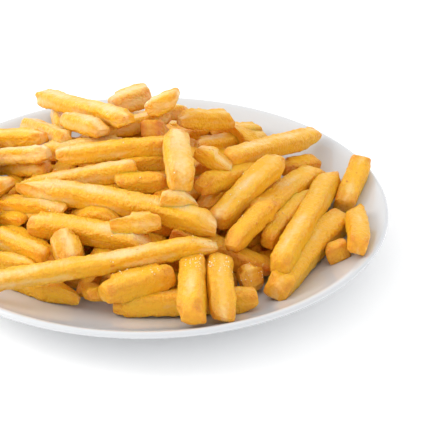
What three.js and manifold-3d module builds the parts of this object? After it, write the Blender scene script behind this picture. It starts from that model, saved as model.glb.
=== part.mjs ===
// A portion of French fries, heaped on a round white coupe plate.
// Millimetres, +Z up. The origin is the middle of the plate's foot, on the surface it stands on.
// The heap is one solid: a smooth core with every fry that shows fused onto it.

import * as THREE from 'three';
import { mergeVertices } from 'three/addons/utils/BufferGeometryUtils.js';
import Module from 'manifold-3d';

const wasm = await Module();
wasm.setup();

// ---------------------------------------------------------------- driving dimensions

// Plate: a flat floor, then one continuous curve up to a thin rolled lip.
const PLATE_RADIUS = 115;
const FLOOR_RADIUS = 66;
const FLOOR_HEIGHT = 6.5;
const WALL_RADIUS = 111;
const WALL_HEIGHT = 21.2;
const WALL_CURVE = 1.8;
const LIP_HEIGHT = 22.1;
const LIP_THICKNESS = 3;
const WALL_THICKNESS = 4.4;
const WALL_THINNING = 0.25;
const UNDER_RADII = [74, 85, 95, 104];
const FOOT_INNER_RADIUS = 58;
const FOOT_OUTER_RADIUS = 62;
const FOOT_DEPTH = 2.2;
const PLATE_SIDES = 56;

// Heap: a dome that stands a little behind the plate's middle and falls off as a parabola.
const HEAP_X = -5;
const HEAP_Y = 20;
const HEAP_PEAK = 56;
const HEAP_FALL = 240;
const CORE_X = -4;
const CORE_Y = 12;
const CORE_RADIUS = 84;
const CORE_DEPTH = 17;
const CORE_SIDES = 28;
const GAP = 0.3;

// Fry: a square baton with chamfered edges and drawn-in ends.
const THICK_TO_WIDE = 0.96;
const CHAMFER = 0.24;
const CONTACT_RADIUS = 0.435;
const END_ZONE = 0.88;
const MIDDLE_ZONE = 0.3;
const SHORT_FRY = 30;

// Laying: fries that would run through each other are nudged apart, round by round.
const ROUNDS = 80;
const GIVE = 0.8;
const HOME_PULL = 0.03;
const NUDGE = 0.45;
const CROSSING = 0.3;
const CLIMB_REACH = 9;
const TIP_SHARE = 0.03;
const LOOK_ABOUT = 12;
const PLATE_REST = 0.45;

// ---------------------------------------------------------------- the fries, layer by layer

// Each row is one fry: both ends of its axis in plan, how far its upper face stands above the
// dome's skin, its width, and how far its middle bows to the left of its heading. A fry that leans
// on its neighbours has one more number: how much further its second end stands out.
const LAYERS = [
  // Bottom: on the plate and against its wall.
  [
    [86, -36, 96, -34, -3, 9.5, 0],
    [97, -47, 96, -1, 0, 9.5, 0],
    [-14, -73, 52, -74, 1, 11, -1],
    [-66, -47, -29, -70, -1, 10.5, 0],
    [-82, 0, -56, -21, -8, 8, 0],
    [-87, 48, -50, 15, -8, 8, 0],
    [28, -16, 50, 15, -5, 11, 0],
    [-13, 4, 11, 10, -9, 8, 0],
    [33, 62, 54, 82, -9, 8, 0],
    [28, 34, 58, 78, -5, 8, 0],
    [24, -15, 56, 13, -3, 9, 0],
    [-15, 74, 14, 92, -12, 9.5, 0],
    [47, -49, 51, -58, -3, 11.5, 0],
    [-98, -34, -96, 16, -1, 11, 0],
    [-90, -44, -72, -10, -3, 11, 0],
    [-102, 10, -92, 50, 1, 11, 0],
    [-100, 28, -78, 62, -2, 11, 0],
    [-46, 97, -47, 49, 1, 8.5, 0],
    [-22, 70, -6, 48, -9, 9.5, 0],
    [-60, 83, -36, 29, -3, 8.5, 0],
    [-24, 84, -8, 56, -13, 9.5, 0],
    [0, 82, 24, 88, -12, 9, 0],
    [40, 84, 14, 54, -12, 10.5, 0],
    [36, 58, 60, 44, -12, 9.5, 0],
    [-36, -23, -12, -31, -8, 8, 0],
    [-26, -63, -21, -72, -3, 8.5, 0],
    [55, -36, 68, -31, -6, 8, 0],
    [66, 42, 82, 47, -8, 9.5, 0],
  ],
  // Second: the heap's body.
  [
    [-98, 18, -65, -4, 0, 11, 0],
    [-76, 3, -38, -24, -5, 8, 0],
    [57, -70, 96, -5, -3, 12.5, 0],
    [-87, 50, -51, 31, -4, 8, 0],
    [-88, 46, -48, 13, 0, 8, 0],
    [-61, -2, -5, -4, -4, 9, 0],
    [52, -21, 82, 44, -1, 13, 0],
    [-72, -44, -47, -57, 0, 8, 0],
    [-54, -28, 3, -48, -2, 10.5, 0],
    [39, -47, 58, -17, 3, 9, 0],
    [56, -36, 77, 13, -1, 8, 0],
    [38, 6, 82, 68, 1, 9, 0],
    [-14, -12, 10, -10, -6, 9.5, 0],
    [-18, -77, 13, -64, 2, 12.5, 0],
    [-23, 29, 9, 44, -0.7, 8.5, 0],
    [-52, 32, -12, 25, -13, 8, 0],
    [-40, 48, -19, 21, 0, 8, 0],
  ],
  // Third: over the body of the heap.
  [
    [104, 39, 94, 8, -2, 10.5, 0],
    [-60, -8, 35, -34, 5, 10.5, 4],
    [-43, 8, 10, 11, 0, 8.5, -1],
    [32, -33, 58, 17, 1, 10.5, 0],
    [7, -31, 24, -28, 1, 9, 0],
    [-16, -44, 7, -42, 3, 9, 0],
    [-75, -24, -47, -50, 0, 9, 0],
    [24, 5, 41, 2, 2, 9, 0],
    [16, 37, 41, 56, 1, 9, 0],
    [0, 39, 15, 39, 1, 9, 0, 11.5],
    [-19, 79, 0, 85, -0.3, 11, 0, 6.5],
    [22, -52, 22, -105, 0, 12, 0],
    [34, -51, 37, -101, -9, 11.5, 0],
    [-97, -20, -80, 28, 1, 11, 0],
    [-103, 24, -76, 42, 1, 10.5, 0],
    [-90, -50, -80, -14, 1, 11.5, 0],
    [0, 46, 18, 57, -1, 8, 0],
  ],
  // Top: laid over the rest.
  [
    [62, -63, 87, 27, 6, 10.5, 0],
    [12, 9, 16, -28, 4, 12.5, 0],
    [-54, 88, -9, 20, 12.6, 8.5, 0, -6],
    [-38, -41, -33, -56, 1, 12, 0],
  ],
  // Last: the one long fry across the front.
  [
    [-70, -74, 34, -51, 3, 8.5, -3],
  ],
];

// ---------------------------------------------------------------- small helpers

// A seeded generator, so that the uneven shapes come out the same each time.
let seed = 2024;
function draw(low, high) {
  seed = (Math.imul(seed, 1664525) + 1013904223) >>> 0;
  return low + (high - low) * seed / 4294967296;
}

function clamp(value, low, high) {
  return Math.min(high, Math.max(low, value));
}

// A three.js geometry as a manifold solid: shared vertices merged, flat triangles dropped.
function toSolid(geometry) {
  geometry.deleteAttribute('normal');
  geometry.deleteAttribute('uv');
  const merged = mergeVertices(geometry, 1e-4);
  const triangles = [];
  for (let k = 0; k < merged.index.count; k += 3) {
    const [a, b, c] = [0, 1, 2].map((corner) => merged.index.getX(k + corner));
    if (a !== b && b !== c && c !== a) {
      triangles.push(a, b, c);
    }
  }
  return new wasm.Manifold(new wasm.Mesh({
    numProp: 3,
    vertProperties: new Float32Array(merged.attributes.position.array),
    triVerts: new Uint32Array(triangles),
  }));
}

function toGeometry(solid) {
  const mesh = solid.getMesh();
  const geometry = new THREE.BufferGeometry();
  geometry.setAttribute('position', new THREE.BufferAttribute(mesh.vertProperties, 3));
  geometry.setIndex(new THREE.BufferAttribute(mesh.triVerts, 1));
  geometry.computeVertexNormals();
  return geometry;
}

// A profile of [radius, height] points, turned round the vertical axis.
function turned(profile, sides) {
  const points = profile.map(([radius, height]) => new THREE.Vector2(radius, height));
  return new THREE.LatheGeometry(points, sides).rotateX(Math.PI / 2);
}

// ---------------------------------------------------------------- plate

// Height of the plate's eating face at a distance from its middle.
function plateTop(radius) {
  const along = clamp((radius - FLOOR_RADIUS) / (WALL_RADIUS - FLOOR_RADIUS), 0, 1.1);
  return FLOOR_HEIGHT + (WALL_HEIGHT - FLOOR_HEIGHT) * along ** WALL_CURVE;
}

function plateGeometry() {
  const wall = [];
  const wallSteps = 8;
  for (let k = 0; k <= wallSteps; k += 1) {
    const radius = WALL_RADIUS - (WALL_RADIUS - FLOOR_RADIUS) * k / wallSteps;
    wall.push([radius, plateTop(radius)]);
  }
  const lip = [];
  const lipSteps = 4;
  const lipRadius = LIP_THICKNESS / 2;
  for (let k = 0; k <= lipSteps; k += 1) {
    const angle = -Math.PI / 2 + Math.PI * k / lipSteps;
    const radius = PLATE_RADIUS - lipRadius * (1 - Math.cos(angle));
    lip.push([radius, LIP_HEIGHT - lipRadius + lipRadius * Math.sin(angle)]);
  }
  const under = UNDER_RADII.map((radius) => {
    const along = (radius - FLOOR_RADIUS) / (WALL_RADIUS - FLOOR_RADIUS);
    const thickness = WALL_THICKNESS * (1 - WALL_THINNING * along);
    return [radius + 1.5, plateTop(radius) - thickness];
  });
  return turned([
    [0, FOOT_DEPTH],
    [FOOT_INNER_RADIUS - 1, FOOT_DEPTH],
    [FOOT_INNER_RADIUS, 0],
    [FOOT_OUTER_RADIUS, 0],
    [FOOT_OUTER_RADIUS + 1.5, 1.6],
    ...under,
    ...lip,
    ...wall,
    [0, FLOOR_HEIGHT],
  ], PLATE_SIDES);
}

// Everything under the plate's eating face, raised by the gap that the heap keeps to it.
function plateClearance() {
  const bottom = -10;
  const reach = PLATE_RADIUS + 15;
  const overLip = LIP_HEIGHT + GAP;
  const overWall = GAP * 1.2;
  const profile = [[0, bottom], [reach, bottom], [reach, overLip], [PLATE_RADIUS - LIP_THICKNESS, overLip]];
  const steps = 9;
  for (let k = 0; k <= steps; k += 1) {
    const radius = WALL_RADIUS - (WALL_RADIUS - FLOOR_RADIUS) * k / steps;
    profile.push([radius, plateTop(radius) + overWall]);
  }
  profile.push([0, FLOOR_HEIGHT + overWall]);
  return turned(profile, PLATE_SIDES);
}

// ---------------------------------------------------------------- laying the fries

// The dome's skin, or a fry's thickness above the plate where the dome has run out.
function skin(x, y, thickness) {
  const dome = HEAP_PEAK - ((x - HEAP_X) ** 2 + (y - HEAP_Y) ** 2) / HEAP_FALL;
  return Math.max(dome, plateTop(Math.hypot(x, y)) + thickness);
}

function layFry([x1, y1, x2, y2, lift, width, bow, tilt = 0], layer) {
  const thickness = width * THICK_TO_WIDE;
  const start = new THREE.Vector3(x1, y1, skin(x1, y1, thickness) + lift - thickness / 2);
  const end = new THREE.Vector3(x2, y2, skin(x2, y2, thickness) + lift + tilt - thickness / 2);
  const length = start.distanceTo(end);
  return {
    width, thickness, layer, length, start, end,
    startHome: start.clone(),
    endHome: end.clone(),
    roll: THREE.MathUtils.degToRad(draw(-14, 14)),
    bow: bow + draw(-0.02, 0.02) * length,
    sag: draw(-0.003, 0.012) * length,
    tips: [draw(0.66, 0.92), draw(0.66, 0.92)],
    slants: [draw(-0.3, 0.3), draw(-0.3, 0.3)],
  };
}

// Where two axes come closest, as shares of their lengths.
function closest(p, u, q, v) {
  const w = p.clone().sub(q);
  const [a, b, c, d, e] = [u.dot(u), u.dot(v), v.dot(v), u.dot(w), v.dot(w)];
  const det = a * c - b * b;
  let s = det > 1e-6 * a * c ? clamp((b * e - c * d) / det, 0, 1) : 0.5;
  let t = (b * s + e) / c;
  if (t < 0) {
    t = 0;
    s = clamp(-d / a, 0, 1);
  } else if (t > 1) {
    t = 1;
    s = clamp((b - d) / a, 0, 1);
  }
  return [s, t];
}

// How two fries stand to each other: the direction from the lower to the upper, and the overlap.
function meeting(lower, upper) {
  const u = lower.end.clone().sub(lower.start);
  const v = upper.end.clone().sub(upper.start);
  const [s, t] = closest(lower.start, u, upper.start, v);
  const between = upper.start.clone().addScaledVector(v, t).sub(lower.start).addScaledVector(u, -s);
  const distance = between.length();
  const reach = CONTACT_RADIUS * (lower.width + lower.thickness + upper.width + upper.thickness) / 2;
  const slope = Math.abs(u.x * v.y - u.y * v.x) / (lower.length * upper.length);
  const inner = (share) => share > TIP_SHARE && share < 1 - TIP_SHARE;
  const crosses = slope > CROSSING && inner(s) && inner(t);
  return { s, t, between, distance, reach, crosses };
}

function nudge(lower, upper) {
  const { s, t, between, distance, reach, crosses } = meeting(lower, upper);
  const need = reach - GIVE;
  let overlap = need - distance;
  let way = between.clone().normalize();
  if (crosses && between.z < 0 && distance < need + CLIMB_REACH) {
    way = new THREE.Vector3(0, 0, 1);
    overlap = need + distance;
  }
  if (overlap <= 0) {
    return;
  }
  const lowerShare = lower.layer < upper.layer ? 0.5 : 1;
  const push = NUDGE * overlap / (lowerShare * ((1 - s) ** 2 + s ** 2) + (1 - t) ** 2 + t ** 2);
  lower.start.addScaledVector(way, -push * lowerShare * (1 - s));
  lower.end.addScaledVector(way, -push * lowerShare * s);
  upper.start.addScaledVector(way, push * (1 - t));
  upper.end.addScaledVector(way, push * t);
}

function pullHome(fry) {
  for (const [tip, home] of [[fry.start, fry.startHome], [fry.end, fry.endHome]]) {
    tip.lerp(home, HOME_PULL);
    tip.z = Math.max(tip.z, plateTop(Math.hypot(tip.x, tip.y)) + PLATE_REST * fry.thickness);
  }
  const middle = fry.start.clone().add(fry.end).multiplyScalar(0.5);
  const half = fry.end.clone().sub(fry.start).setLength(fry.length / 2);
  fry.start.copy(middle).sub(half);
  fry.end.copy(middle).add(half);
}

function settle(fries) {
  const pairs = [];
  fries.forEach((lower, k) => {
    for (const upper of fries.slice(k + 1)) {
      const { distance, reach } = meeting(lower, upper);
      if (distance < reach + LOOK_ABOUT) {
        pairs.push([lower, upper]);
      }
    }
  });
  for (let round = 0; round < ROUNDS; round += 1) {
    pairs.forEach(([lower, upper]) => nudge(lower, upper));
    fries.forEach(pullHome);
  }
}

// ---------------------------------------------------------------- one fry's solid

function section(width, thickness, roll) {
  const cut = CHAMFER * Math.min(width, thickness);
  const [w, t] = [width / 2, thickness / 2];
  const corners = [
    [w, cut - t], [w, t - cut], [w - cut, t], [cut - w, t],
    [-w, t - cut], [-w, cut - t], [cut - w, -t], [w - cut, -t],
  ];
  const points = corners.map(([x, y]) => new THREE.Vector2(x, y).rotateAround(new THREE.Vector2(), roll));
  return new THREE.Shape(points);
}

function fryGeometry(fry) {
  const middles = fry.length > SHORT_FRY ? [-MIDDLE_ZONE, MIDDLE_ZONE] : [];
  const stations = [-1, -END_ZONE, ...middles, END_ZONE, 1];
  const steps = stations.length - 1;
  const geometry = new THREE.ExtrudeGeometry(section(fry.width, fry.thickness, fry.roll), {
    depth: steps, steps, bevelEnabled: false, curveSegments: 1,
  });
  const along = fry.end.clone().sub(fry.start).normalize();
  const side = new THREE.Vector3(-along.y, along.x, 0).normalize();
  const up = along.clone().cross(side);
  const middle = fry.start.clone().add(fry.end).multiplyScalar(0.5);
  const position = geometry.attributes.position;
  const point = new THREE.Vector3();
  for (let k = 0; k < position.count; k += 1) {
    const station = Math.round(position.getZ(k));
    const v = stations[station];
    const tip = station === 0 ? 0 : 1;
    const atTip = station === 0 || station === steps;
    const scale = atTip ? fry.tips[tip] : 1;
    const across = position.getX(k) * scale;
    const high = position.getY(k) * scale;
    const slant = atTip ? fry.slants[tip] * across : 0;
    point.copy(middle).addScaledVector(along, v * fry.length / 2 + slant);
    point.addScaledVector(side, across + fry.bow * (1 / 3 - v * v));
    point.addScaledVector(up, high - fry.sag * (v * v - 1 / 3));
    position.setXYZ(k, point.x, point.y, point.z);
  }
  return geometry;
}

// ---------------------------------------------------------------- the heap

function coreGeometry() {
  const profile = [[0, 0], [CORE_RADIUS, 0]];
  const rings = 7;
  for (let k = rings; k >= 0; k -= 1) {
    const radius = CORE_RADIUS * k / rings;
    profile.push([radius, HEAP_PEAK - CORE_DEPTH - radius ** 2 / HEAP_FALL]);
  }
  return turned(profile, CORE_SIDES).translate(CORE_X, CORE_Y, 0);
}

// Of the joined heap only the outer skin of the main piece is kept: sealed hollows come out
// filled, and a scrap that touches nothing is dropped.
function mainPiece(solid) {
  return solid.decompose().reduce((best, piece) => (piece.volume() > best.volume() ? piece : best));
}

function heapGeometry() {
  const fries = LAYERS.flatMap((rows, layer) => rows.map((row) => layFry(row, layer)));
  settle(fries);
  let heap = toSolid(coreGeometry());
  for (const fry of fries) {
    heap = heap.add(toSolid(fryGeometry(fry)));
  }
  return toGeometry(mainPiece(heap.subtract(toSolid(plateClearance()))));
}

// ---------------------------------------------------------------- the model

function part(name, geometry, color, roughness) {
  const material = new THREE.MeshStandardMaterial({ color, roughness, metalness: 0 });
  const mesh = new THREE.Mesh(geometry, material);
  mesh.name = name;
  return mesh;
}

const portion = new THREE.Group();
portion.add(part('plate', plateGeometry(), 0xf4f4f2, 0.12));
portion.add(part('fries', heapGeometry(), 0xf2b03c, 0.6));

export default portion;
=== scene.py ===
# %% [markdown]
# # A portion of French fries on a white plate
#
# The object is a heap of thick-cut potato fries on a round porcelain plate. The solids, their sizes
# and the frame they stand in are fixed: this script loads them and makes the looks around them.
# Lengths in the frame are metres. The heap is laid in millimetres, because a fry is easier to think
# of as 10 mm thick than as 0.01 m, and one factor turns them into metres at the end.

import math

import bmesh
import bpy
from mathutils import Euler, Matrix, Vector, noise
from mathutils.bvhtree import BVHTree


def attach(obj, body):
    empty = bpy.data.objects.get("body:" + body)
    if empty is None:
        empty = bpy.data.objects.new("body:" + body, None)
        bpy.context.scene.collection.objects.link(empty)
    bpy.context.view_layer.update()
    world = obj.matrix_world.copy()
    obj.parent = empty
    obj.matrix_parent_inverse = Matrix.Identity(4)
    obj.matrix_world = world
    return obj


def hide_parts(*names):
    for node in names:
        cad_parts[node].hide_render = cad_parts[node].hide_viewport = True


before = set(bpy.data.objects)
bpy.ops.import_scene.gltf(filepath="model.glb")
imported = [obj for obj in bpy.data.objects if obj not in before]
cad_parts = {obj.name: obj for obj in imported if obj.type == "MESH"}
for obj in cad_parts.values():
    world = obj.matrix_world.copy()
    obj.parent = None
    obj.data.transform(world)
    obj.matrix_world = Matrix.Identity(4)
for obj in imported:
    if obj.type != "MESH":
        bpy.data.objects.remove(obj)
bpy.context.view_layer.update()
MM = 0.001

# %% [markdown]
# ## Camera
#
# A long lens from well back keeps the plate's ellipse regular and the fries of equal size from
# front to rear. The camera looks down at the plate by a third of a right angle, from the front, and
# aims to the right of the plate's middle, so that the plate's left side runs out of the frame.

# %% Camera
CAMERA_DISTANCE = 1.38
CAMERA_DOWN = math.radians(29.5)
FRAME_WIDTH = 0.2021
SENSOR_WIDTH = 36.0
AIM = Vector((0.0311, -0.0006, 0.0195))

view_direction = Vector((0, math.cos(CAMERA_DOWN), -math.sin(CAMERA_DOWN)))
camera_data = bpy.data.cameras.new("camera")
camera_data.sensor_width = SENSOR_WIDTH
camera_data.lens = SENSOR_WIDTH * CAMERA_DISTANCE / FRAME_WIDTH
camera_data.clip_end = 20
camera = bpy.data.objects.new("camera", camera_data)
camera.location = AIM - view_direction * CAMERA_DISTANCE
camera.rotation_euler = (math.pi / 2 - CAMERA_DOWN, 0, 0)
bpy.context.scene.collection.objects.link(camera)
bpy.context.scene.camera = camera
print("lens", round(camera_data.lens, 1), "mm")

# %% [markdown]
# ## Small helpers
#
# A few things are needed again and again: a colour given as the hex value that a colour picker
# shows, a node added to a material in one line, a finished mesh turned into an object, and that
# object put in the place of one of the solids.

# %% Helpers
def linear(code):
    """An sRGB hex colour as the linear RGBA that shaders work in."""
    channels = [int(code[k:k + 2], 16) / 255 for k in (1, 3, 5)]
    return [c / 12.92 if c <= 0.04045 else ((c + 0.055) / 1.055) ** 2.4 for c in channels] + [1.0]


def add(tree, kind, inputs, **settings):
    """A new node: settings are its own fields, inputs are values or the sockets that feed it."""
    made = tree.nodes.new(kind)
    for field, value in settings.items():
        setattr(made, field, value)
    for socket, value in inputs.items():
        if isinstance(value, bpy.types.NodeSocket):
            tree.links.new(value, made.inputs[socket])
        else:
            made.inputs[socket].default_value = value
    return made


def new_material(name):
    """An empty material, its node tree, its shader and its output's surface already linked."""
    material = bpy.data.materials.new(name)
    material.use_nodes = True
    tree = material.node_tree
    tree.nodes.clear()
    shader = add(tree, "ShaderNodeBsdfPrincipled", {})
    add(tree, "ShaderNodeOutputMaterial", {"Surface": shader.outputs["BSDF"]})
    return material, tree, shader


def new_object(name, mesh, material):
    """A smooth-shaded object at the origin, with its place in its mesh."""
    mesh.shade_smooth()
    mesh.materials.append(material)
    made = bpy.data.objects.new(name, mesh)
    bpy.context.scene.collection.objects.link(made)
    return made


def take_place(piece, node):
    """The piece rides on the one body and stands where the solid's node stood, which is hidden."""
    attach(piece, "root")
    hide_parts(node)


def count_triangles(mesh):
    return sum(len(face.vertices) - 2 for face in mesh.polygons)


# %% [markdown]
# ## Floor and light
#
# A plate of food on white is lit softly from nearly all round, with one broad, stronger lamp close
# by on the left. It brightens the tops and left faces of the fries, leaves the right side of the
# heap a deeper gold, and lays a faint shadow to the right of the plate. The floor is so bright that
# only the shadow shows on it.

# %% Floor
FLOOR_SIZE = 8.0
FLOOR_GLOW = 0.15

floor_mesh = bpy.data.meshes.new("floor")
plane = bmesh.new()
bmesh.ops.create_grid(plane, x_segments=1, y_segments=1, size=FLOOR_SIZE / 2)
plane.to_mesh(floor_mesh)
plane.free()
paper, paper_tree, paper_shader = new_material("white_studio_paper")
paper_shader.inputs["Base Color"].default_value = linear("#F6F6F6")
paper_shader.inputs["Roughness"].default_value = 0.9
paper_shader.inputs["Specular IOR Level"].default_value = 0.1
paper_shader.inputs["Emission Color"].default_value = linear("#FFFFFF")
paper_shader.inputs["Emission Strength"].default_value = FLOOR_GLOW
floor = new_object("floor", floor_mesh, paper)
print("floor:", FLOOR_SIZE, "m square")

# %% Light
SKY_STRENGTH = 1.06
LIGHTS = [
    # name, place, size in metres, power in watts, colour
    ("key", (-0.58, 0.02, 0.42), 0.5, 2.3, "#FFFAF2"),
]

world = bpy.data.worlds.new("studio")
bpy.context.scene.world = world
world.use_nodes = True
world.node_tree.nodes["Background"].inputs["Color"].default_value = linear("#FFFFFF")
world.node_tree.nodes["Background"].inputs["Strength"].default_value = SKY_STRENGTH
for name, place, size, power, color in LIGHTS:
    data = bpy.data.lights.new(name, "AREA")
    data.shape = "DISK"
    data.size = size
    data.energy = power
    data.color = linear(color)[:3]
    lamp = bpy.data.objects.new(name, data)
    lamp.location = place
    lamp.rotation_euler = (AIM - Vector(place)).to_track_quat("-Z", "Y").to_euler()
    bpy.context.scene.collection.objects.link(lamp)
bpy.context.scene.view_settings.view_transform = "Standard"
print("lights:", [row[0] for row in LIGHTS])

# %% [markdown]
# ## The plate
#
# A coupe plate has no separate rim: a flat floor turns up in one curve to a thin, rounded lip, and
# underneath it stands on a ring left free of glaze. It could be cut from a disc and bent, but a
# potter turns it, and so does this cell: half of its section, drawn once, is spun round the axis.

# %% Plate section
PLATE_RADIUS = 115
FLOOR_RADIUS = 66
FLOOR_HEIGHT = 6.5
WALL_RADIUS = 111
WALL_HEIGHT = 21.2
WALL_CURVE = 1.8
LIP_HEIGHT = 22.1
LIP_THICKNESS = 3
FOOT_INNER_RADIUS = 58
FOOT_OUTER_RADIUS = 62
FOOT_DEPTH = 2.2
WALL_THICKNESS = 4.4
WALL_THINNING = 0.25
UNDER_START = 70
UNDER_END = 105
UNDER_SHIFT = 1.5
FLOOR_RING = 30
SPIN_STEPS = 180


def clamp(value, low, high):
    return min(high, max(low, value))


def plate_top(radius):
    """Height of the eating face at a distance from the plate's middle."""
    along = clamp((radius - FLOOR_RADIUS) / (WALL_RADIUS - FLOOR_RADIUS), 0, 1.1)
    return FLOOR_HEIGHT + (WALL_HEIGHT - FLOOR_HEIGHT) * along ** WALL_CURVE


def plate_profile():
    """The plate's half section, from the axis underneath, round the lip and back to the axis."""
    under_steps, lip_steps, wall_steps = 12, 10, 28
    foot = [(0, FOOT_DEPTH), (FOOT_INNER_RADIUS - 1, FOOT_DEPTH), (FOOT_INNER_RADIUS - 0.2, 0.5),
            (FOOT_INNER_RADIUS + 0.4, 0), (FOOT_OUTER_RADIUS - 0.4, 0),
            (FOOT_OUTER_RADIUS + 0.3, 0.5), (FOOT_OUTER_RADIUS + 1.6, 1.6)]
    under = []
    for k in range(under_steps + 1):
        radius = UNDER_START + (UNDER_END - UNDER_START) * k / under_steps
        along = (radius - FLOOR_RADIUS) / (WALL_RADIUS - FLOOR_RADIUS)
        thickness = WALL_THICKNESS * (1 - WALL_THINNING * along)
        under.append((radius + UNDER_SHIFT, plate_top(radius) - thickness))
    lip = []
    lip_radius = LIP_THICKNESS / 2
    for k in range(lip_steps + 1):
        angle = -math.pi / 2 + math.pi * k / lip_steps
        radius = PLATE_RADIUS - lip_radius * (1 - math.cos(angle))
        lip.append((radius, LIP_HEIGHT - lip_radius + lip_radius * math.sin(angle)))
    wall = []
    for k in range(wall_steps + 1):
        radius = WALL_RADIUS - (WALL_RADIUS - FLOOR_RADIUS) * k / wall_steps
        wall.append((radius, plate_top(radius)))
    return foot + under + lip + wall + [(FLOOR_RING, FLOOR_HEIGHT), (0, FLOOR_HEIGHT)]


print("points in the plate's half section:", len(plate_profile()))


# %% Plate mesh
def spun(name, profile, steps):
    """A closed turned body from a profile of (radius, height) in millimetres."""
    body = bmesh.new()
    corners = [body.verts.new((radius * MM, 0, height * MM)) for radius, height in profile]
    outline = [body.edges.new(pair) for pair in zip(corners, corners[1:])]
    bmesh.ops.spin(body, geom=corners + outline, cent=(0, 0, 0), axis=(0, 0, 1), angle=math.tau,
                   steps=steps, use_merge=True)
    bmesh.ops.remove_doubles(body, verts=body.verts, dist=1e-6)
    bmesh.ops.recalc_face_normals(body, faces=body.faces)
    mesh = bpy.data.meshes.new(name)
    body.to_mesh(mesh)
    body.free()
    return mesh


plate_mesh = spun("plate_glazed", plate_profile(), SPIN_STEPS)
print("plate triangles:", count_triangles(plate_mesh))

# %% [markdown]
# ## Glazed porcelain
#
# Porcelain is a white, slightly glassy clay under a clear glaze. The body scatters light a little
# below its surface, which softens the shading on the curve, and the glaze gives a sharp, weak
# mirror over it. A glaze is never quite flat: it settles in slow waves some centimetres long, which
# bend the reflections. Under the foot the clay is bare, so it is duller and a little creamier.

# %% Glazed porcelain
GLAZE_WAVE = 0.035
GLAZE_SPECK = 0.0012
BARE_CLAY_HEIGHT = 0.0006

porcelain, tree, shader = new_material("glazed_porcelain")
place = add(tree, "ShaderNodeTexCoord", {}).outputs["Object"]
height = add(tree, "ShaderNodeSeparateXYZ", {"Vector": place}).outputs["Z"]
bare = add(tree, "ShaderNodeMapRange",
           {"Value": height, "From Min": BARE_CLAY_HEIGHT, "From Max": BARE_CLAY_HEIGHT * 0.5})
speck = add(tree, "ShaderNodeTexNoise",
            {"Vector": place, "Scale": 1 / GLAZE_SPECK, "Detail": 1.0})
speck_mask = add(tree, "ShaderNodeMapRange",
                 {"Value": speck.outputs["Fac"], "From Min": 0.76, "From Max": 0.86, "To Max": 0.1})
glaze_color = add(tree, "ShaderNodeMix",
                  {"Factor": speck_mask.outputs["Result"], "A": linear("#D5D7DA"),
                   "B": linear("#B9AC98")}, data_type="RGBA")
body_color = add(tree, "ShaderNodeMix",
                 {"Factor": bare.outputs["Result"], "A": glaze_color.outputs["Result"],
                  "B": linear("#E6DFD0")}, data_type="RGBA")
gloss = add(tree, "ShaderNodeMapRange",
            {"Value": bare.outputs["Result"], "To Min": 0.09, "To Max": 0.7})
wave = add(tree, "ShaderNodeTexNoise", {"Vector": place, "Scale": 1 / GLAZE_WAVE, "Detail": 1.0})
wave_bump = add(tree, "ShaderNodeBump",
                {"Height": wave.outputs["Fac"], "Strength": 0.25, "Distance": 0.0006})
tree.links.new(body_color.outputs["Result"], shader.inputs["Base Color"])
tree.links.new(gloss.outputs["Result"], shader.inputs["Roughness"])
tree.links.new(wave_bump.outputs["Normal"], shader.inputs["Normal"])
shader.inputs["IOR"].default_value = 1.52
shader.inputs["Subsurface Weight"].default_value = 0.15
shader.inputs["Subsurface Radius"].default_value = (1.0, 0.9, 0.8)
shader.inputs["Subsurface Scale"].default_value = 0.0012

take_place(new_object("plate_glazed", plate_mesh, porcelain), "plate")
print("porcelain nodes:", len(tree.nodes))
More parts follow.
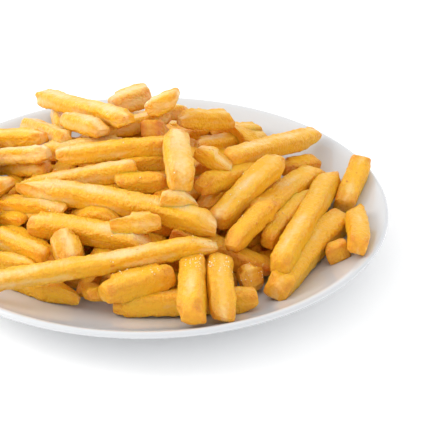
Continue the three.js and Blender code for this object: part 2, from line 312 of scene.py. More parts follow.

# %% [markdown]
# ## Laying the heap
#
# A heap could be dropped with a physics simulation, but then nobody can say where each fry ends up.
# Here every fry that shows has a row of its own: where its two ends are in plan, how far it stands
# above a smooth dome, its width, and how far it bows. The rows are the ones that the solids were
# made from. Where it matters a row also says how much further the second end stands out, how deep
# the fry's gold is, and how its two ends are cut. That gold is partly the fry's own and partly
# painted light and shade: painted lighter towards the back and left, deeper towards the front and
# right. Then a settling rule moves fries that would run through each other apart, a little at a
# time, and pulls each back towards its own place.

# %% Rows of fries
# The gold given in each row is partly the fry's own and partly painted light and shade.
LAYERS = [
    # Bottom: on the plate and against its wall.
    [
        (86, -36, 96, -34, -3, 9.5, 0, {"tone": 0.7, "ends": ("square", "square")}),
        (97, -47, 96, -1, 0, 9.5, 0, {"tone": 0.7, "ends": ("square", "point")}),
        (-14, -73, 52, -74, 1, 11, -1, {"tone": 0.4, "ends": ("round", "below")}),
        (-66, -47, -29, -70, -1, 10.5, 0, {"tone": 0.55, "ends": ("round", "point")}),
        (-82, 0, -56, -21, -8, 8, 0, {"tone": 0.6}),
        (-87, 48, -50, 15, -8, 8, 0, {"tone": -0.03, "ends": ("round", "round")}),
        (28, -16, 50, 15, -5, 11, 0, {"tone": 0.7}),
        (-13, 4, 11, 10, -9, 8, 0, {"tone": 0.5, "ends": ("round", "round")}),
        (33, 62, 54, 82, -9, 8, 0, {"tone": 0.45, "ends": ("round", "round")}),
        (28, 34, 58, 78, -5, 8, 0, {"tone": 0.4}),
        (24, -15, 56, 13, -3, 9, 0, {"tone": 0.85}),
        (-15, 74, 14, 92, -12, 9.5, 0, {"tone": -0.08}),
        (47, -49, 51, -58, -3, 11.5, 0, {"tone": 0.6, "ends": ("round", "top")}),
        (-98, -34, -96, 16, -1, 11, 0, {"tone": 0.3}),
        (-90, -44, -72, -10, -3, 11, 0, {"tone": 0.4}),
        (-102, 10, -92, 50, 1, 11, 0, {"tone": 0.02}),
        (-100, 28, -78, 62, -2, 11, 0, {"tone": 0.02}),
        (-46, 97, -47, 49, 1, 8.5, 0, {"tone": -0.18, "ends": ("round", "round")}),
        (-22, 70, -6, 48, -9, 9.5, 0, {"tone": 0.02}),
        (-60, 83, -36, 29, -3, 8.5, 0, {"tone": -0.13, "ends": ("round", "round")}),
        (-24, 84, -8, 56, -13, 9.5, 0, {"tone": 0.02}),
        (0, 82, 24, 88, -12, 9, 0, {"tone": 0.02}),
        (40, 84, 14, 54, -12, 10.5, 0, {"tone": 0.3}),
        (36, 58, 60, 44, -12, 9.5, 0),
        (-36, -23, -12, -31, -8, 8, 0, {"tone": 0.8}),
        (-26, -63, -21, -72, -3, 8.5, 0, {"tone": 0.85}),
        (55, -36, 68, -31, -6, 8, 0, {"tone": 0.85}),
        (66, 42, 82, 47, -8, 9.5, 0, {"tone": 0.75, "ends": ("round", "square")}),
    ],
    # Second: the heap's body.
    [
        (-98, 18, -65, -4, 0, 11, 0, {"tone": 0.2}),
        (-76, 3, -38, -24, -5, 8, 0, {"tone": 0.3}),
        (57, -70, 96, -5, -3, 12.5, 0, {"tone": 0.6, "ends": ("round", "square")}),
        (-87, 50, -51, 31, -4, 8, 0, {"tone": 0.02, "ends": ("round", "round")}),
        (-88, 46, -48, 13, 0, 8, 0, {"tone": -0.23, "ends": ("round", "round")}),
        (-61, -2, -5, -4, -4, 9, 0, {"tone": -0.05, "ends": ("round", "square")}),
        (52, -21, 82, 44, -1, 13, 0, {"tone": 0.6, "ends": ("round", "top")}),
        (-72, -44, -47, -57, 0, 8, 0, {"tone": 0.3}),
        (-54, -28, 3, -48, -2, 10.5, 0, {"tone": 0.28, "ends": ("round", "top")}),
        (39, -47, 58, -17, 3, 9, 0, {"tone": 0.8, "ends": ("top", "round")}),
        (56, -36, 77, 13, -1, 8, 0, {"tone": 0.9, "ends": ("square", "point")}),
        (38, 6, 82, 68, 1, 9, 0, {"tone": 0.3, "ends": ("square", "long_below")}),
        (-14, -12, 10, -10, -6, 9.5, 0, {"tone": 0.45, "ends": ("long_below", "square")}),
        (-18, -77, 13, -64, 2, 12.5, 0, {"tone": 0.5, "ends": ("round", "round")}),
        (-23, 29, 9, 44, -0.7, 8.5, 0, {"tone": -0.13, "ends": ("round", "round")}),
        (-52, 32, -12, 25, -13, 8, 0, {"tone": -0.13, "ends": ("round", "round")}),
        (-40, 48, -19, 21, 0, 8, 0, {"tone": -0.18, "ends": ("round", "top")}),
    ],
    # Third: over the body of the heap.
    [
        (104, 39, 94, 8, -2, 10.5, 0, {"tone": 0.55, "ends": ("square", "square")}),
        (-60, -8, 35, -34, 5, 10.5, 4, {"tone": 0.08, "ends": ("point", "top")}),
        (-43, 8, 10, 11, 0, 8.5, -1, {"tone": 0.3, "ends": ("below", "square")}),
        (32, -33, 58, 17, 1, 10.5, 0, {"tone": 0.3, "ends": ("square", "round")}),
        (7, -31, 24, -28, 1, 9, 0, {"tone": -0.1, "ends": ("round", "top")}),
        (-16, -44, 7, -42, 3, 9, 0, {"tone": -0.05, "ends": ("point", "round")}),
        (-75, -24, -47, -50, 0, 9, 0, {"tone": 0.35, "ends": ("round", "square")}),
        (24, 5, 41, 2, 2, 9, 0, {"tone": 0.2, "ends": ("round", "long_top")}),
        (16, 37, 41, 56, 1, 9, 0, {"tone": 0.25, "ends": ("top", "top")}),
        (0, 39, 15, 39, 1, 9, 0, {"tilt": 11.5, "tone": -0.23, "ends": ("round", "below")}),
        (-19, 79, 0, 85, -0.3, 11, 0, {"tilt": 6.5, "tone": -0.18, "ends": ("round", "square")}),
        (22, -52, 22, -105, 0, 12, 0, {"tone": 0.65, "ends": ("square", "round")}),
        (34, -51, 37, -101, -9, 11.5, 0, {"tone": 0.7, "ends": ("square", "long_top")}),
        (-97, -20, -80, 28, 1, 11, 0, {"tone": 0.15}),
        (-103, 24, -76, 42, 1, 10.5, 0, {"tone": -0.08}),
        (-90, -50, -80, -14, 1, 11.5, 0, {"tone": 0.4}),
        (0, 46, 18, 57, -1, 8, 0, {"tone": -0.18, "ends": ("round", "round")}),
    ],
    # Top: laid over the rest.
    [
        (62, -63, 87, 27, 6, 10.5, 0, {"tone": 0.35, "ends": ("round", "square")}),
        (12, 9, 16, -28, 4, 12.5, 0, {"tone": -0.1, "ends": ("round", "square")}),
        (-54, 88, -9, 20, 12.6, 8.5, 0, {"tilt": -6, "tone": 0.02, "ends": ("square", "round")}),
        (-38, -41, -33, -56, 1, 12, 0, {"tone": 0.15, "ends": ("round", "square")}),
    ],
    # Last: the one long fry across the front.
    [
        (-70, -74, 34, -51, 3, 8.5, -3, {"tone": 0.12, "ends": ("square", "long_top")}),
    ],
]
print("fries with a place of their own:", sum(len(rows) for rows in LAYERS))

# %% The dome and the fry
# The dome that the fries lie on: where its peak is, how high, and how slowly it falls away.
HEAP_X = -5
HEAP_Y = 20
HEAP_PEAK = 56
HEAP_FALL = 240
THICK_TO_WIDE = 0.96
SEED = 2024
# What a seeded draw gives each fry: a turn round its own line in degrees, a bow and a sag as shares
# of its length, and how much narrower and how much aslant its tips are.
ROLL = 14
BEND = 0.02
SAGS = (-0.003, 0.012)
TIP_SIZES = (0.66, 0.92)
SLANT = 0.3


class Draws:
    """A seeded linear congruential generator, so that every run lays and shapes the same heap."""

    def __init__(self, seed):
        self.state = seed

    def between(self, low, high):
        self.state = (self.state * 1664525 + 1013904223) % 2 ** 32
        return low + (high - low) * self.state / 2 ** 32


def skin(x, y, thickness):
    """The dome's skin, or a fry's thickness above the plate where the dome has run out."""
    dome = HEAP_PEAK - ((x - HEAP_X) ** 2 + (y - HEAP_Y) ** 2) / HEAP_FALL
    return max(dome, plate_top(math.hypot(x, y)) + thickness)


class Fry:
    """One fry: where it lies, how big it is and how it is bent, in millimetres."""

    def __init__(self, row, layer, draws):
        x1, y1, x2, y2, lift, width, bow = row[:7]
        extras = row[7] if len(row) > 7 else {}
        self.ends = extras.get("ends", (None, None))
        self.tone = extras.get("tone")
        self.layer = layer
        self.fixed = False
        self.width = width
        self.thickness = width * THICK_TO_WIDE
        half = self.thickness / 2
        tilt = extras.get("tilt", 0)
        self.start = Vector((x1, y1, skin(x1, y1, self.thickness) + lift - half))
        self.end = Vector((x2, y2, skin(x2, y2, self.thickness) + lift + tilt - half))
        self.start_home = self.start.copy()
        self.end_home = self.end.copy()
        self.length = (self.end - self.start).length
        self.roll = math.radians(draws.between(-ROLL, ROLL))
        self.bow = bow + draws.between(-BEND, BEND) * self.length
        self.sag = draws.between(*SAGS) * self.length
        self.tips = [draws.between(*TIP_SIZES) for _ in range(2)]
        self.slants = [draws.between(-SLANT, SLANT) for _ in range(2)]


# %% Settling
ROUNDS = 80
# A fry counts as a round bar with a radius of this share of its thickness, and two that touch may
# press into each other by this many millimetres.
CONTACT_RADIUS = 0.435
GIVE = 0.8
# Of what is asked, the share that one round does: back to its own place, and out of another fry.
HOME_PULL = 0.03
NUDGE = 0.45
# Fries that cross at more than this sine, away from their tips, lie over each other, and one that
# is too low is lifted over. The others are pushed whichever way is nearest.
CROSSING = 0.3
CLIMB_REACH = 9
TIP_SHARE = 0.03
# Pairs further apart than this never meet, and a tip rests on the plate by this share of its
# thickness.
LOOK_ABOUT = 12
PLATE_REST = 0.45


def closest(p, u, q, v):
    """Where two axes come closest, as shares of their lengths."""
    w = p - q
    a, b, c, d, e = u.dot(u), u.dot(v), v.dot(v), u.dot(w), v.dot(w)
    det = a * c - b * b
    s = clamp((b * e - c * d) / det, 0, 1) if det > 1e-6 * a * c else 0.5
    t = (b * s + e) / c
    if t < 0:
        return clamp(-d / a, 0, 1), 0
    if t > 1:
        return clamp((b - d) / a, 0, 1), 1
    return s, t


def meeting(lower, upper):
    """How two fries stand to each other: the way from lower to upper, and what they need."""
    u = lower.end - lower.start
    v = upper.end - upper.start
    s, t = closest(lower.start, u, upper.start, v)
    between = upper.start + v * t - lower.start - u * s
    reach = CONTACT_RADIUS * (lower.width + lower.thickness + upper.width + upper.thickness) / 2
    slope = abs(u.x * v.y - u.y * v.x) / (lower.length * upper.length)
    inner = all(TIP_SHARE < share < 1 - TIP_SHARE for share in (s, t))
    return s, t, between, reach, slope > CROSSING and inner


def nudge(lower, upper):
    s, t, between, reach, crosses = meeting(lower, upper)
    need = reach - GIVE
    distance = between.length
    overlap = need - distance
    way = between.normalized()
    if crosses and between.z < 0 and distance < need + CLIMB_REACH:
        way = Vector((0, 0, 1))
        overlap = need + distance
    if overlap <= 0:
        return
    lower_share = 0 if lower.fixed else 0.5 if lower.layer < upper.layer and not upper.fixed else 1
    upper_share = 0 if upper.fixed else 1
    weight = lower_share * ((1 - s) ** 2 + s ** 2) + upper_share * ((1 - t) ** 2 + t ** 2)
    push = NUDGE * overlap / weight
    lower.start -= way * (push * lower_share * (1 - s))
    lower.end -= way * (push * lower_share * s)
    upper.start += way * (push * upper_share * (1 - t))
    upper.end += way * (push * upper_share * t)


def pull_home(fry):
    for tip, home in ((fry.start, fry.start_home), (fry.end, fry.end_home)):
        tip += (home - tip) * HOME_PULL
        tip.z = max(tip.z, plate_top(math.hypot(tip.x, tip.y)) + PLATE_REST * fry.thickness)
    middle = (fry.start + fry.end) / 2
    half = (fry.end - fry.start).normalized() * (fry.length / 2)
    fry.start = middle - half
    fry.end = middle + half


def settle(fries):
    pairs = []
    for k, lower in enumerate(fries):
        for upper in fries[k + 1:]:
            if lower.fixed and upper.fixed:
                continue
            between, reach = meeting(lower, upper)[2:4]
            if between.length < reach + LOOK_ABOUT:
                pairs.append((lower, upper))
    free = [fry for fry in fries if not fry.fixed]
    for _ in range(ROUNDS):
        for pair in pairs:
            nudge(*pair)
        for fry in free:
            pull_home(fry)


def deepest(fries):
    """How far the two fries that press most into each other do so, in millimetres."""
    overlaps = []
    for k, lower in enumerate(fries):
        for upper in fries[k + 1:]:
            between, reach = meeting(lower, upper)[2:4]
            overlaps.append(reach - between.length)
    return round(max(overlaps), 1)


draws = Draws(SEED)
fries = [Fry(row, layer, draws) for layer, rows in enumerate(LAYERS) for row in rows]
settle(fries)
print("highest axis point:", round(max(max(f.start.z, f.end.z) for f in fries), 1), "mm")
print("deepest overlap:", deepest(fries), "mm")

# %% [markdown]
# ## The fries below
#
# Between the fries that show, the eye looks down into gaps, and there it has to find more fries,
# not a smooth dome. These are the same everywhere, so a rule places them: a sunflower spiral
# spreads their middles evenly, a seeded draw turns them, and the settling rule pushes them under
# the fries above, which stay where they are. They get a deep, darker gold as painted shade for the
# gaps, which keeps the gaps warm instead of black.

# %% Fries below
GOLDEN_ANGLE = math.radians(137.508)
BELOW = [
    # how many, lift of their upper faces, shortest and longest in millimetres
    (34, -12, 34, 52),
    (26, -21, 34, 52),
]
BELOW_X = -2
BELOW_Y = 8
BELOW_SPREAD = 66
BELOW_EDGE = 78
BELOW_WIDTHS = (9.5, 11)
# Painted shade: the gold of the fries below, darker than any fry above.
BELOW_PAINTED_SHADE = 1.05

below = []
for level, (count, lift, shortest, longest) in enumerate(BELOW):
    for k in range(count):
        radius = BELOW_SPREAD * math.sqrt((k + 0.5) / count)
        angle = k * GOLDEN_ANGLE + level
        x, y = BELOW_X + radius * math.cos(angle), BELOW_Y + radius * math.sin(angle)
        heading = draws.between(0, math.pi)
        half = draws.between(shortest, longest) / 2
        dx, dy = half * math.cos(heading), half * math.sin(heading)
        if max(math.hypot(x - dx, y - dy), math.hypot(x + dx, y + dy)) > BELOW_EDGE:
            # It would stick out of the heap, so it is turned along the heap's edge.
            heading = angle + math.pi / 2
            dx, dy = half * math.cos(heading), half * math.sin(heading)
        width = draws.between(*BELOW_WIDTHS)
        row = (x - dx, y - dy, x + dx, y + dy, lift, width, 0, {"tone": BELOW_PAINTED_SHADE})
        below.append(Fry(row, -1 - level, draws))
for fry in fries:
    fry.fixed = True
below.sort(key=lambda fry: fry.layer)
settle(below + fries)
print("fries below:", len(below))

# %% [markdown]
# ## The shape of one fry
#
# A fry is a square stick of potato, cut by blades, then fried. The blades leave four flat faces and
# crisp corners, and frying rounds the corners, shrinks the faces a little unevenly and raises small
# blisters. Its ends are where the potato stopped: some square, some cut aslant, some thin wedges.
#
# The mesh starts as a cube. Bevelled corners and even cuts turn it into a fine net, and then each
# point is moved: shaved by slanting planes near the ends, roughened, and bent to the fry's line.

# %% Stick mesh
# The share of the width that a rounded corner takes, and the steps it turns in.
CORNER = 0.2
CORNER_STEPS = 4
# An edge is cut up when it is this many steps long and runs along an axis nearly all its length.
CUT_FROM = 1.5
STRAIGHT = 0.99


def stick(length, width, thickness, step):
    """A square bar along X with rounded corners and an even net of faces."""
    bar = bmesh.new()
    bmesh.ops.create_cube(bar, size=1.0)
    bmesh.ops.scale(bar, verts=bar.verts, vec=(length, width, thickness))
    bmesh.ops.bevel(bar, geom=bar.edges[:], offset=CORNER * width, offset_type="OFFSET",
                    segments=CORNER_STEPS, profile=0.5, affect="EDGES", material=-1)
    for axis in range(3):
        flat = []
        for edge in bar.edges:
            reach = abs(edge.verts[0].co[axis] - edge.verts[1].co[axis])
            if reach > max(CUT_FROM * step, STRAIGHT * edge.calc_length()):
                flat.append(edge)
        if flat:
            cuts = round(flat[0].calc_length() / step) - 1
            bmesh.ops.subdivide_edges(bar, edges=flat, cuts=max(cuts, 1), use_grid_fill=True)
    return bar


# %% Ends
# A cut: its direction round the axis in degrees (90 is up), how many widths back from the tip it
# starts, and how much of the width it has taken at the tip.
END_CUTS = {
    "square": [],
    "round": [(45, 0.45, 0.13), (135, 0.4, 0.12), (250, 0.5, 0.16)],
    "top": [(90, 0.75, 0.5)],
    "below": [(270, 0.75, 0.55)],
    "long_top": [(95, 1.35, 0.72)],
    "long_below": [(265, 1.35, 0.66)],
    "point": [(60, 1.3, 0.4), (190, 1.5, 0.42), (300, 1.1, 0.32)],
}
CUT_TURN = 14
REACHES = (0.85, 1.15)
DEPTHS = (0.88, 1.1)


def end_cuts(kind, draws):
    """The cuts at one end, each turned and deepened a little; an end without a kind gets any."""
    if kind is None:
        kind = list(END_CUTS)[int(draws.between(0, len(END_CUTS)))]
    cuts = []
    for angle, reach, depth in END_CUTS[kind]:
        turn = math.radians(angle + draws.between(-CUT_TURN, CUT_TURN))
        side = Vector((0, math.cos(turn), math.sin(turn)))
        cuts.append((side, reach * draws.between(*REACHES), depth * draws.between(*DEPTHS)))
    return cuts


# %% Shaping a stick into a fry
# The last part of a fry draws in: over how many widths, by which share of what its tip asks, and
# how far the lumps there lean outwards along the fry.
DRAW_IN = 0.6
NARROWING = 0.5
END_LEAN = 0.3
# Its width swells and shrinks by a share, and its line sways by millimetres, less up than sideways
# and not at its tips.
WAIST = 0.045
WAIST_LENGTH = 26
SWAY = 0.7
SWAY_LENGTH = 24
SWAY_UP = 0.6
SWAY_FREE = 12
LUMPS = [
    # size across and height in millimetres, how many heights more there are at a corner
    (8.0, 0.38, 0),
    (3.2, 0.2, 1.6),
    (1.6, 0.16, 2.6),
]
# Lumps are longer along the fry than across it: the noise is read this much more slowly there.
LUMP_STRETCH = 0.6
# The rounding where a cut meets the face, in widths.
CUT_SOFTNESS = 0.1


def smooth_step(value):
    value = clamp(value, 0, 1)
    return value * value * (3 - 2 * value)


def soft_excess(value, softness):
    """How far a value is above zero, with the turn at zero rounded off."""
    return (value + math.hypot(value, softness)) / 2


def corner_share(point, fry):
    """How near a point of the straight stick is to a long corner: 0 mid-face, 1 at the corner."""
    return (2 * abs(point.y) / fry.width) * (2 * abs(point.z) / fry.thickness)


def shape_point(point, fry, cuts, lumps):
    """Moves one point of the straight stick to its place on the uneven, still straight fry."""
    share = 2 * point.x / fry.length
    tip = 1 if share > 0 else 0
    back = fry.length / 2 - abs(point.x)
    draw_in = smooth_step(1 - back / (DRAW_IN * fry.width))
    scale = 1 - (1 - fry.tips[tip]) * NARROWING * draw_in
    scale += WAIST * noise.noise(Vector((point.x / WAIST_LENGTH, 0, 0)) + lumps)
    section = Vector((0, point.y * scale, point.z * scale))
    for side, reach, depth in cuts[tip]:
        if back < reach * fry.width:
            limit = fry.width * (0.5 - depth * (1 - back / (reach * fry.width)))
            section -= side * soft_excess(section.dot(side) - limit, CUT_SOFTNESS * fry.width)
    slant = fry.slants[tip] * section.y * draw_in
    corner = corner_share(point, fry)
    swell = sum(high * (1 + more * corner)
                * noise.noise(Vector((point.x * LUMP_STRETCH, point.y, point.z)) / size + lumps)
                for size, high, more in LUMPS)
    outward = Vector((END_LEAN * share * draw_in, point.y / fry.width, point.z / fry.width))
    # The fixed steps aside only pick other stretches of the same noise.
    sway = Vector((point.x / SWAY_LENGTH, 7.7, 0)) + lumps
    free = smooth_step(back / SWAY_FREE)
    section.y += SWAY * noise.noise(sway) * free
    section.z += SWAY_UP * SWAY * noise.noise(sway + Vector((0, 0, 5.1))) * free
    return Vector((point.x + slant, 0, 0)) + section + outward.normalized() * swell


# %% One fry joins the others
TWIST = 7
ANY_TONE = (0.3, 0.7)
# The sides of a fry are painted a deeper gold than its upper and lower faces: painted shade on the
# sides and painted light on top, as the light falls from above. Its tips, over this many widths,
# are toasted deeper still. Each fry takes its pattern from another place, this many lump steps
# away.
SIDE_PAINTED_SHADE = 0.4
TOASTED_REACH = 0.9
PATTERN_SHIFT = 10


def frame_of(fry):
    """The fry's middle, and its own directions along, across and up."""
    along = (fry.end - fry.start).normalized()
    side = Vector((-along.y, along.x, 0)).normalized()
    return (fry.start + fry.end) / 2, along, side, along.cross(side)


def add_fry(fry, step, draws, joined, crust):
    """Appends one shaped fry to the joined mesh, with what its finish needs at each point."""
    bar = stick(fry.length, fry.width, fry.thickness, step)
    cuts = [end_cuts(kind, draws) for kind in fry.ends]
    lumps = Vector((draws.between(0, 90), draws.between(0, 90), draws.between(0, 90)))
    twist = math.radians(draws.between(-TWIST, TWIST))
    any_tone = draws.between(*ANY_TONE)
    tone = any_tone if fry.tone is None else fry.tone
    middle, along, side, up = frame_of(fry)
    for vertex in bar.verts:
        straight = vertex.co.copy()
        share = 2 * straight.x / fry.length
        from_top = abs(straight.y) / fry.width - abs(straight.z) / fry.thickness
        shaded_side = clamp(0.5 + 2 * from_top, 0, 1)
        back = fry.length / 2 - abs(straight.x)
        shaped = shape_point(straight, fry, cuts, lumps)
        turn = fry.roll + twist * share
        across = shaped.y * math.cos(turn) - shaped.z * math.sin(turn)
        high = shaped.y * math.sin(turn) + shaped.z * math.cos(turn)
        across += fry.bow * (1 / 3 - share * share)
        high -= fry.sag * (share * share - 1 / 3)
        vertex.co = (middle + along * shaped.x + side * across + up * high) * MM
        # Red: the fry's gold with painted shade on its sides and painted light on its upper and
        # lower faces; green: the corner; blue: the toasted tip.
        crust["color"] += [tone + SIDE_PAINTED_SHADE * (shaded_side - 0.5), corner_share(straight, fry),
                           smooth_step(1 - back / (TOASTED_REACH * fry.width)), 1.0]
        grain = (straight + lumps * PATTERN_SHIFT) * MM
        crust["grain"] += [grain.x, grain.y, grain.z]
    single = bpy.data.meshes.new("single")
    bar.to_mesh(single)
    bar.free()
    joined.from_mesh(single)
    bpy.data.meshes.remove(single)


def finish_mesh(name, joined, crust):
    """The joined mesh with the two attributes that the crust reads."""
    mesh = bpy.data.meshes.new(name)
    joined.to_mesh(mesh)
    volume = joined.calc_volume(signed=True)
    joined.free()
    mesh.attributes.new("crust", "FLOAT_COLOR", "POINT").data.foreach_set("color", crust["color"])
    mesh.attributes.new("grain", "FLOAT_VECTOR", "POINT").data.foreach_set("vector", crust["grain"])
    # A volume above zero says that the faces point outwards.
    print(name, "triangles:", count_triangles(mesh), "volume:", round(volume * 1e6), "cubic cm")
    return mesh


def fries_mesh(name, chosen, step, draws):
    joined = bmesh.new()
    crust = {"color": [], "grain": []}
    for fry in chosen:
        add_fry(fry, step, draws, joined, crust)
    return finish_mesh(name, joined, crust)


# %% [markdown]
# ## Fried potato crust
#
# Frying dries the outer millimetre of potato into a thin crust. The potato below is pale and lets
# light in, so the crust glows from inside; where the crust is thick, at corners and ends, it turns
# deep gold and then brown. A film of oil gives a soft shine, broken up by fine blisters.

# %% Fried potato crust
# Sizes in metres: the broad patches, the mottle, the blisters, the streaks and the rare dark eyes.
PATCH = 0.011
MOTTLE = 0.0022
BLISTER = 0.0011
STREAK = 0.0016
EYE = 0.0026
# How much slower each pattern changes along the fry than across it.
PATCH_ALONG = 0.55
MOTTLE_ALONG = 0.9
STREAK_ALONG = 0.12
PALE = "#F5D394"
GOLD = "#F3B926"
BROWN = "#DB8422"


def crust_color(tree, grain, marks, mottle, streak):
    """The crust's colour from the fry's gold with its painted light and shade, its corner and tip
    marks and from the patterns.
    """
    tone, corner, tip = (marks.outputs[channel] for channel in ("Red", "Green", "Blue"))

    # Gold grows with the patch, towards the corners, with the fry's own gold and the painted light
    # and shade carried with it, and in the mottle.
    spread = add(tree, "ShaderNodeMapping", {"Vector": grain, "Scale": (PATCH_ALONG, 1, 1)})
    patch = add(tree, "ShaderNodeTexNoise",
                {"Vector": spread.outputs["Vector"], "Scale": 1 / PATCH, "Detail": 2.0})
    gold = add(tree, "ShaderNodeMath", {0: patch.outputs["Fac"], 1: 2.6, 2: -1.38},
               operation="MULTIPLY_ADD")
    gold = add(tree, "ShaderNodeMath", {0: corner, 1: 0.95, 2: gold.outputs[0]},
               operation="MULTIPLY_ADD")
    gold = add(tree, "ShaderNodeMath", {0: tone, 1: gold.outputs[0]}, operation="ADD")
    gold = add(tree, "ShaderNodeMath", {0: mottle, 1: 0.9, 2: gold.outputs[0]},
               operation="MULTIPLY_ADD", use_clamp=True)
    potato = add(tree, "ShaderNodeMix", {"Factor": gold.outputs[0], "A": linear(PALE),
                                         "B": linear(GOLD)}, data_type="RGBA")

    # Brown needs more of them at once: a corner near a tip, or the deepest gold of all, which is
    # painted shade, mostly on the fries below in the gaps.
    brown = add(tree, "ShaderNodeMath", {0: corner, 1: 0.5, 2: -0.75}, operation="MULTIPLY_ADD")
    brown = add(tree, "ShaderNodeMath", {0: tip, 1: 0.42, 2: brown.outputs[0]},
                operation="MULTIPLY_ADD")
    brown = add(tree, "ShaderNodeMath", {0: tone, 1: 0.25, 2: brown.outputs[0]},
                operation="MULTIPLY_ADD")
    deep = add(tree, "ShaderNodeMapRange", {"Value": tone, "From Min": 1.0, "From Max": 1.6})
    brown = add(tree, "ShaderNodeMath", {0: deep.outputs["Result"], 1: brown.outputs[0]},
                operation="ADD")
    brown = add(tree, "ShaderNodeMath", {0: mottle, 1: 0.9, 2: brown.outputs[0]},
                operation="MULTIPLY_ADD")

    # Eyes: the few dark specks that peeling leaves.
    eye = add(tree, "ShaderNodeTexNoise", {"Vector": grain, "Scale": 1 / EYE, "Detail": 0.0})
    eye = add(tree, "ShaderNodeMapRange", {"Value": eye.outputs["Fac"], "From Min": 0.8,
                                           "From Max": 0.88, "To Max": 0.8})
    brown = add(tree, "ShaderNodeMath", {0: eye.outputs["Result"], 1: brown.outputs[0]},
                operation="ADD", use_clamp=True)
    crust = add(tree, "ShaderNodeMix", {"Factor": brown.outputs[0], "A": potato.outputs["Result"],
                                        "B": linear(BROWN)}, data_type="RGBA")

    # Starch streaks, just lighter and just darker.
    light = add(tree, "ShaderNodeMapRange", {"Value": streak, "From Min": 0.3, "From Max": 0.7,
                                             "To Min": 0.97, "To Max": 1.02})
    final = add(tree, "ShaderNodeHueSaturation", {"Color": crust.outputs["Result"],
                                                  "Value": light.outputs["Result"]})
    return final.outputs["Color"]


def crust_relief(tree, grain, marks, mottle, streak):
    """The relief too small to model, as a bumped normal."""
    blister = add(tree, "ShaderNodeTexVoronoi",
                  {"Vector": grain, "Scale": 1 / BLISTER, "Randomness": 1.0})
    relief = add(tree, "ShaderNodeMath", {0: blister.outputs["Distance"], 1: -0.8, 2: 0.5},
                 operation="MULTIPLY_ADD")
    relief = add(tree, "ShaderNodeMath", {0: mottle, 1: relief.outputs[0]}, operation="ADD")
    relief = add(tree, "ShaderNodeMath", {0: streak, 1: 0.15, 2: relief.outputs[0]},
                 operation="MULTIPLY_ADD")
    # The crust is thickest along the corners, so they are the roughest.
    rough = add(tree, "ShaderNodeMath", {0: marks.outputs["Green"], 1: 0.5, 2: 0.5},
                operation="MULTIPLY_ADD")
    bump = add(tree, "ShaderNodeBump", {"Height": relief.outputs[0], "Strength": rough.outputs[0],
                                        "Distance": 0.0007})
    return bump.outputs["Normal"]


# %% Crust material
fried_crust, tree, shader = new_material("fried_potato_crust")
crust_marks = add(tree, "ShaderNodeAttribute", {}, attribute_name="crust").outputs["Color"]
marks = add(tree, "ShaderNodeSeparateColor", {"Color": crust_marks})
grain = add(tree, "ShaderNodeAttribute", {}, attribute_name="grain").outputs["Vector"]
fine = add(tree, "ShaderNodeMapping", {"Vector": grain, "Scale": (MOTTLE_ALONG, 1, 1)})
mottle = add(tree, "ShaderNodeTexNoise", {"Vector": fine.outputs["Vector"], "Scale": 1 / MOTTLE,
                                          "Detail": 3.0}).outputs["Fac"]
drawn = add(tree, "ShaderNodeMapping", {"Vector": grain, "Scale": (STREAK_ALONG, 1, 1)})
streak = add(tree, "ShaderNodeTexNoise", {"Vector": drawn.outputs["Vector"], "Scale": 1 / STREAK,
                                          "Detail": 1.0}).outputs["Fac"]

# Oil lies unevenly on the crust, so its shine changes with the mottle.
shine = add(tree, "ShaderNodeMapRange", {"Value": mottle, "From Min": 0.3, "From Max": 0.7,
                                         "To Min": 0.32, "To Max": 0.52})
tree.links.new(crust_color(tree, grain, marks, mottle, streak), shader.inputs["Base Color"])
tree.links.new(crust_relief(tree, grain, marks, mottle, streak), shader.inputs["Normal"])
tree.links.new(shine.outputs["Result"], shader.inputs["Roughness"])
shader.inputs["IOR"].default_value = 1.44
shader.inputs["Specular IOR Level"].default_value = 0.5
shader.inputs["Subsurface Weight"].default_value = 0.7
shader.inputs["Subsurface Radius"].default_value = (1.0, 0.5, 0.12)
shader.inputs["Subsurface Scale"].default_value = 0.003
shader.inputs["Coat Weight"].default_value = 0.03
shader.inputs["Coat Roughness"].default_value = 0.3
print("crust nodes:", len(tree.nodes))

# %% Fry pieces
# The net's step in millimetres is fine on the fries that show and coarse on those below.
FINE_STEP = 0.8
COARSE_STEP = 1.5
SHAPE_SEED = 77

shaping = Draws(SHAPE_SEED)
PIECES = [
    ("fries_bottom", [f for f in fries if f.layer == 0], FINE_STEP),
    ("fries_body", [f for f in fries if f.layer == 1], FINE_STEP),
    ("fries_upper", [f for f in fries if f.layer == 2], FINE_STEP),
    ("fries_top", [f for f in fries if f.layer > 2], FINE_STEP),
    ("fries_below", below, COARSE_STEP),
]
heap = []
for name, chosen, step in PIECES:
    piece = new_object(name, fries_mesh(name, chosen, step, shaping), fried_crust)
    take_place(piece, "fries")
    heap.append(piece)

# %% [markdown]
# ## Salt and crumbs
#
# Salt is thrown over hot fries and sticks where it lands: on faces that look up, thickly in a few
# places and thinly elsewhere. A grain is a worn cube under a millimetre. Between the grains lie a
# few crumbs, flakes of crust that broke off the ends. Both are dropped straight down on to the
# finished fries, so that each lies on a real surface and leans with it.

# %% Dropping things on the heap
HANDFULS = [
    # middle in plan, spread, how many grains
    (3, -71, 5, 9),
    (23, -65, 8, 30),
    (36, -64, 8, 24),
    (50, -56, 6, 20),
    (-11, -68, 5, 8),
    (0, 5, 70, 90),
]
DROP_HEIGHT = 90
STEEPEST = 0.3
STRETCHES = (0.75, 1.2)

skins = [BVHTree.FromObject(piece, bpy.context.evaluated_depsgraph_get()) for piece in heap]


def drop(x, y):
    """The topmost point of the heap under a place in plan, and the way its surface faces."""
    hits = [skin_tree.ray_cast(Vector((x, y, DROP_HEIGHT)) * MM, Vector((0, 0, -1)))[:2]
            for skin_tree in skins]
    hits = [(point, normal) for point, normal in hits if point]
    return max(hits, key=lambda hit: hit[0].z) if hits else (None, None)


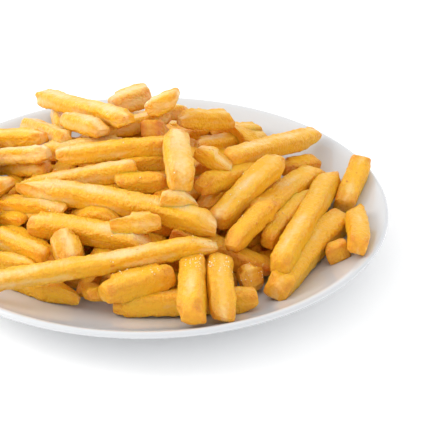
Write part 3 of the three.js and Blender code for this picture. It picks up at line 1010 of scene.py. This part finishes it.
def scatter(name, bit, handfuls, sizes, rise, draws):
    """Copies of one small shape joined in a mesh, dropped by the handful.

    A bit that falls on a face too steep to hold it is left out. The others stand out of the crust
    by a share of their size.
    """
    joined = bmesh.new()
    for x, y, spread, count in handfuls:
        for _ in range(count):
            angle = draws.between(0, math.tau)
            away = spread * math.sqrt(draws.between(0, 1))
            point, normal = drop(x + away * math.cos(angle), y + away * math.sin(angle))
            if point is None or normal.z < STEEPEST:
                continue
            size = draws.between(*sizes)
            turn = Euler([draws.between(0, math.tau) for _ in range(3)]).to_matrix()
            stretch = Matrix.Diagonal([draws.between(*STRETCHES) for _ in range(3)])
            single = bit.copy()
            place = Matrix.Translation(point + normal * size * rise * MM)
            single.transform(place @ (turn @ stretch).to_4x4() @ Matrix.Scale(size * MM, 4))
            joined.from_mesh(single)
            bpy.data.meshes.remove(single)
    mesh = bpy.data.meshes.new(name)
    joined.to_mesh(mesh)
    joined.free()
    print(name, "triangles:", count_triangles(mesh))
    return mesh


# %% Salt
SALT_SIZES = (0.28, 0.6)
SALT_RISE = 0.3
SALT_SEED = 5
WEAR = 0.12
CLOUD = 0.0006

crystal = bmesh.new()
bmesh.ops.create_cube(crystal, size=1.0)
bmesh.ops.bevel(crystal, geom=crystal.edges[:], offset=WEAR, offset_type="OFFSET", segments=1,
                profile=0.5, affect="EDGES", material=-1)
crystal_mesh = bpy.data.meshes.new("crystal")
crystal.to_mesh(crystal_mesh)
crystal.free()

# Salt is clear, but so small a grain shows as a light dot that has taken some of the oil's yellow,
# here glassy and there dull.
salt_crystal, tree, shader = new_material("salt_crystal")
place = add(tree, "ShaderNodeTexCoord", {}).outputs["Object"]
cloud = add(tree, "ShaderNodeTexNoise", {"Vector": place, "Scale": 1 / CLOUD, "Detail": 1.0})
clear = add(tree, "ShaderNodeMapRange", {"Value": cloud.outputs["Fac"], "From Min": 0.35,
                                         "From Max": 0.65, "To Min": 0.05, "To Max": 0.35})
tree.links.new(clear.outputs["Result"], shader.inputs["Roughness"])
shader.inputs["Base Color"].default_value = linear("#FFEBC0")
shader.inputs["IOR"].default_value = 1.54
shader.inputs["Specular IOR Level"].default_value = 0.7

salt_mesh = scatter("salt", crystal_mesh, HANDFULS, SALT_SIZES, SALT_RISE, Draws(SALT_SEED))
take_place(new_object("salt", salt_mesh, salt_crystal), "fries")

# %% Crumbs
CRUMB_SIZES = (0.7, 1.6)
CRUMB_RISE = 0.1
CRUMB_SEED = 11
CRUMB_FALLS = [
    (26, -55, 12, 14),
    (0, 0, 72, 40),
]
FLAKE_SHAPE = (1.2, 0.8, 0.5)
FLAKE_WARP = 0.6
TOAST = 0.004

flake = bmesh.new()
bmesh.ops.create_icosphere(flake, subdivisions=1, radius=0.5)
for vertex in flake.verts:
    vertex.co *= 1 + FLAKE_WARP * noise.noise(vertex.co * 3)
bmesh.ops.scale(flake, verts=flake.verts, vec=FLAKE_SHAPE)
flake_mesh = bpy.data.meshes.new("flake")
flake.to_mesh(flake_mesh)
flake.free()

# A crumb is all crust, so it has the crust's pale and gold but no glow from inside.
toasted_crumb, tree, shader = new_material("toasted_crumb")
place = add(tree, "ShaderNodeTexCoord", {}).outputs["Object"]
toast = add(tree, "ShaderNodeTexNoise", {"Vector": place, "Scale": 1 / TOAST, "Detail": 2.0})
toast_color = add(tree, "ShaderNodeMix", {"Factor": toast.outputs["Fac"], "A": linear(PALE),
                                          "B": linear(GOLD)}, data_type="RGBA")
tree.links.new(toast_color.outputs["Result"], shader.inputs["Base Color"])
shader.inputs["Roughness"].default_value = 0.55

crumbs_mesh = scatter("crust_crumbs", flake_mesh, CRUMB_FALLS, CRUMB_SIZES, CRUMB_RISE,
                      Draws(CRUMB_SEED))
take_place(new_object("crust_crumbs", crumbs_mesh, toasted_crumb), "fries")
